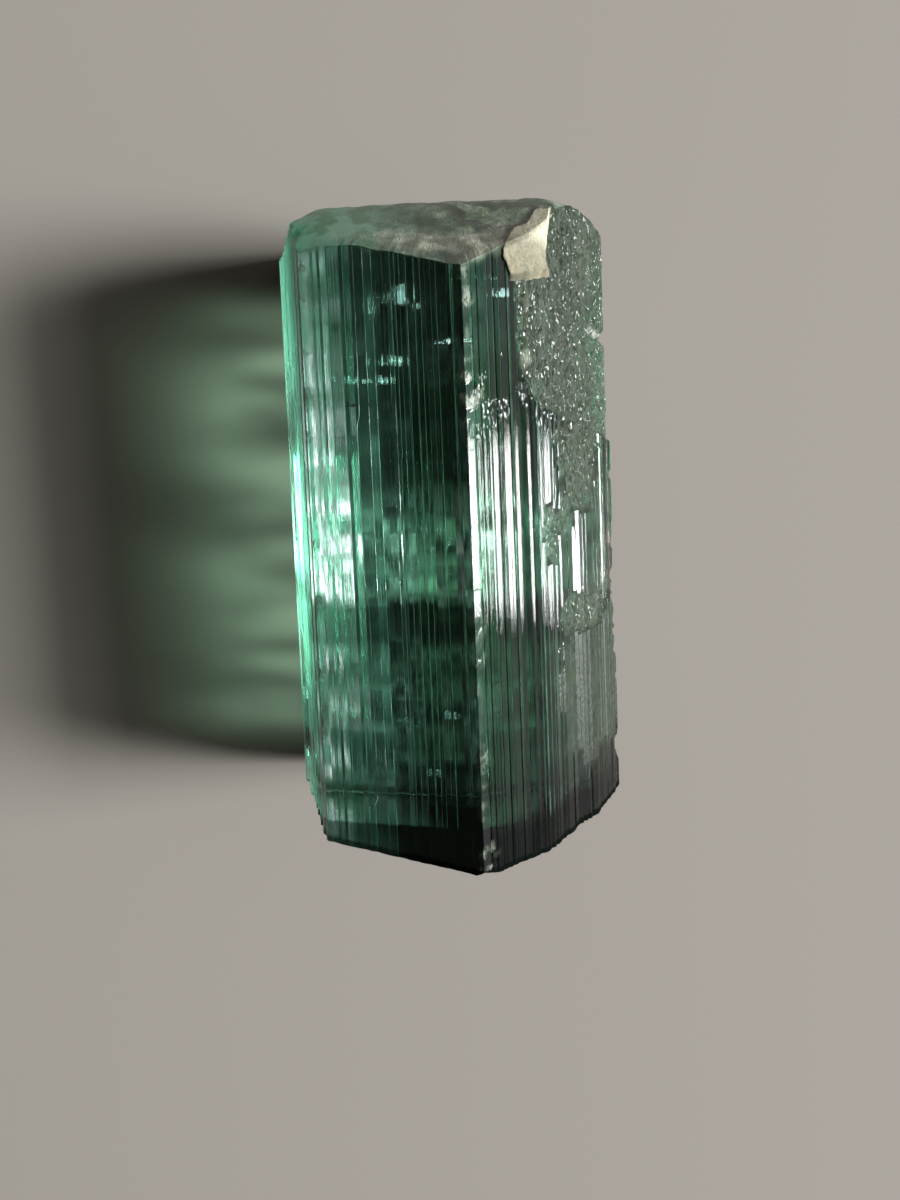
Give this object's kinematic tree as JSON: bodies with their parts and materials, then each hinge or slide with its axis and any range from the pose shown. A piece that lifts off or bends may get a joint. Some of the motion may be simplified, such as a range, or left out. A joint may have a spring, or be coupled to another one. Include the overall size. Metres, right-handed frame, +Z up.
{
  "type": "tourmaline crystal",
  "caption": "Green see-through tourmaline: a striated, rounded-triangular prism with a flat foot, a broken sloping head, an etched side and a small crust of pale matrix.",
  "frame": {"origin": "middle of the footprint, on the surface that the crystal lies on", "axes": "+Y along the crystal's length, from its flat foot to its broken head; +Z up through the ridge; +X towards the etched side that carries the crust"},
  "size_m": [0.0096, 0.0164, 0.009],
  "materials": {
    "tourmaline": "glassy, finely striated",
    "matrix": "matt, crumbly"
  },
  "bodies": {
    "root": {"crystal": "tourmaline", "matrix_crust": "matrix"}
  },
  "joints": []
}
